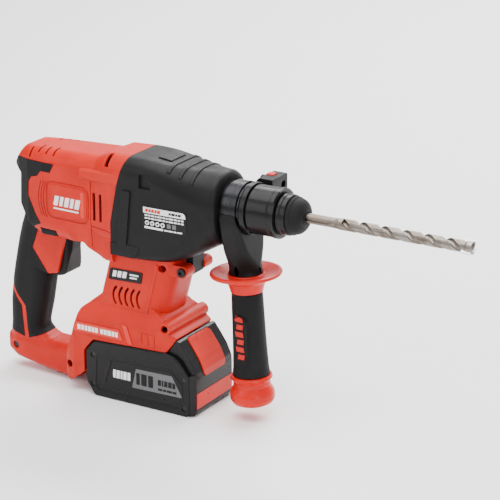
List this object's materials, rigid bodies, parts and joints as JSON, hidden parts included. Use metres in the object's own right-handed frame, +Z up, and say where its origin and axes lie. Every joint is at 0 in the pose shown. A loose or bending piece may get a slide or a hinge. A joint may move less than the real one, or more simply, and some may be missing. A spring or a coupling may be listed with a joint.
{
  "type": "cordless rotary hammer",
  "caption": "Cordless rotary hammer with a D-handle, upright motor, quick-change chuck and masonry drill, swinging side handle and slide-on battery.",
  "frame": {"origin": "centre of the battery's flat bottom face, which is z = 0", "axes": "+X towards the drill bit, +Z up along the motor, Y = 0 is the seam between the housing halves and the tool's right side is -Y"},
  "size_m": [0.5335, 0.0879, 0.2586],
  "materials": {
    "housing_red": "satin moulded",
    "signal_red": "gloss moulded",
    "gear_case_black": "fine moulded texture",
    "grip_rubber": "matt textured",
    "battery_black": "satin gloss",
    "chuck_plastic": "satin",
    "collar_steel": "turned",
    "tool_steel": "ground and oiled",
    "drill_steel": "bead blasted",
    "carbide": "ground",
    "screw_steel": "zinc plated",
    "magnet_steel": "coated",
    "armature_steel": "laminated",
    "aluminium_plate": "die cast",
    "seal_rubber": "smooth",
    "fan_plastic": "moulded",
    "board_green": "soldered board",
    "cell_wrap": "wrapped cell",
    "holder_plastic": "moulded",
    "label_print": "printed film",
    "label_grey": "printed film"
  },
  "bodies": {
    "tool_body": {"housing_right_shell": "housing_red", "housing_left_shell": "housing_red", "grip_rubber_right": "grip_rubber", "grip_rubber_left": "grip_rubber", "housing_screws": "screw_steel", "gear_housing": "gear_case_black", "gear_case_screws": "screw_steel", "nose_collar": "collar_steel", "collar_ring": "chuck_plastic", "rear_bearing_plate": "aluminium_plate", "ball_bearings": "tool_steel", "spindle_seal": "seal_rubber", "motor_can_and_magnets": "magnet_steel", "motor_brush_holder": "fan_plastic", "trigger_spring": "screw_steel", "switch_module": "holder_plastic", "controller_board": "board_green", "battery_terminal_block": "holder_plastic", "side_labels": "label_print"},
    "spindle_set": {"spindle": "tool_steel", "spindle_gear": "tool_steel", "locking_balls": "tool_steel", "chuck_front_ring": "chuck_plastic", "dust_cap": "grip_rubber", "sleeve_spring": "screw_steel"},
    "chuck_sleeve": {"chuck_sleeve": "chuck_plastic"},
    "piston": {"piston": "aluminium_plate"},
    "piston_pin": {"piston_pin": "tool_steel"},
    "striker": {"striker": "tool_steel"},
    "beat_piece": {"beat_piece": "tool_steel"},
    "countershaft_set": {"countershaft": "tool_steel", "bevel_gear": "tool_steel", "wobble_hub": "tool_steel"},
    "wobble_ring": {"wobble_ring": "tool_steel"},
    "mode_knob": {"mode_knob": "gear_case_black"},
    "bit": {"drill_bit": "drill_steel", "carbide_tip": "carbide"},
    "motor_rotor": {"motor_armature": "armature_steel", "cooling_fan": "fan_plastic", "motor_shaft": "tool_steel"},
    "trigger": {"trigger": "gear_case_black"},
    "direction_selector": {"direction_selector": "gear_case_black"},
    "battery": {"battery_case": "battery_black", "battery_side_right": "battery_black", "battery_side_left": "battery_black", "battery_front_band": "signal_red", "battery_latch_spring": "screw_steel", "battery_cells": "cell_wrap", "battery_cell_holders": "holder_plastic", "battery_board": "board_green", "battery_screws": "screw_steel", "battery_label": "label_grey"},
    "battery_button": {"battery_release_button": "signal_red"},
    "side_handle": {"clamp_strap": "collar_steel", "handle_yoke": "gear_case_black", "handle_bolt": "screw_steel", "depth_rod_bracket": "gear_case_black"},
    "side_grip": {"side_grip_core": "signal_red", "side_grip_rubber": "grip_rubber"},
    "depth_button": {"depth_rod_button": "signal_red"}
  },
  "joints": [
    {"name": "spindle_spin", "type": "hinge", "parent": "tool_body", "child": "spindle_set", "pos_m": [0, 0, 0.2185], "axis": [1, 0, 0], "continuous": true},
    {"name": "countershaft_spin", "type": "hinge", "parent": "tool_body", "child": "countershaft_set", "pos_m": [0, 0, 0.18725], "axis": [1, 0, 0], "continuous": true},
    {"name": "motor_spin", "type": "hinge", "parent": "tool_body", "child": "motor_rotor", "pos_m": [-0.006, 0, 0.12], "axis": [0, 0, 1], "continuous": true},
    {"name": "wobble_swing", "type": "hinge", "parent": "tool_body", "child": "wobble_ring", "pos_m": [0.022, 0, 0.18725], "axis": [0, 1, 0], "range_deg": [-14, 14]},
    {"name": "piston_slide", "type": "slide", "parent": "tool_body", "child": "piston", "axis": [1, 0, 0], "range_m": [-0.00763, 0.00763]},
    {"name": "piston_pin_turn", "type": "hinge", "parent": "piston", "child": "piston_pin", "pos_m": [0.022, 0, 0.2185], "axis": [0, 1, 0], "range_deg": [-14.5, 14.5]},
    {"name": "striker_slide", "type": "slide", "parent": "spindle_set", "child": "striker", "axis": [1, 0, 0], "range_m": [-0.008, 0.002]},
    {"name": "beat_piece_slide", "type": "slide", "parent": "spindle_set", "child": "beat_piece", "axis": [1, 0, 0], "range_m": [-0.004, 0]},
    {"name": "bit_slide", "type": "slide", "parent": "spindle_set", "child": "bit", "axis": [1, 0, 0], "range_m": [0, 0.009]},
    {"name": "chuck_sleeve_pull", "type": "slide", "parent": "spindle_set", "child": "chuck_sleeve", "axis": [-1, 0, 0], "range_m": [0, 0.005], "stiffness_N_per_m": 2500, "springref_m": -0.004, "deforming": ["sleeve_spring"]},
    {"name": "mode_knob_turn", "type": "hinge", "parent": "tool_body", "child": "mode_knob", "pos_m": [0.03, 0.037, 0.196], "axis": [0, 1, 0], "range_deg": [-90, 90]},
    {"name": "trigger_pull", "type": "slide", "parent": "tool_body", "child": "trigger", "axis": [-1, 0, 0], "range_m": [0, 0.007], "stiffness_N_per_m": 1200, "springref_m": -0.003, "deforming": ["trigger_spring"]},
    {"name": "direction_slide", "type": "slide", "parent": "tool_body", "child": "direction_selector", "axis": [0, 1, 0], "range_m": [-0.003, 0.003]},
    {"name": "side_handle_swing", "type": "hinge", "parent": "tool_body", "child": "side_handle", "pos_m": [0.1, 0, 0.2185], "axis": [1, 0, 0], "continuous": true},
    {"name": "side_grip_twist", "type": "hinge", "parent": "side_handle", "child": "side_grip", "pos_m": [0.1, 0, 0.2185], "axis": [0.0593, 0, -0.9982], "range_deg": [0, 360]},
    {"name": "depth_button_press", "type": "slide", "parent": "side_handle", "child": "depth_button", "axis": [0, 0, -1], "range_m": [0, 0.001], "stiffness_N_per_m": 1500, "springref_m": -0.002},
    {"name": "battery_slide", "type": "slide", "parent": "tool_body", "child": "battery", "axis": [1, 0, 0], "range_m": [0, 0.018]},
    {"name": "battery_button_press", "type": "slide", "parent": "battery", "child": "battery_button", "axis": [-1, 0, 0], "range_m": [0, 0.0025], "stiffness_N_per_m": 3000, "springref_m": -0.002, "deforming": ["battery_latch_spring"]}
  ],
  "couplings": [
    {"joint": "countershaft_spin", "follows": "spindle_spin", "ratio": -4},
    {"joint": "motor_spin", "follows": "spindle_spin", "ratio": 16},
    {"joint": "wobble_swing", "follows": "piston_slide", "rad_per_m": 32},
    {"joint": "piston_pin_turn", "follows": "piston_slide", "rad_per_m": 32}
  ]
}
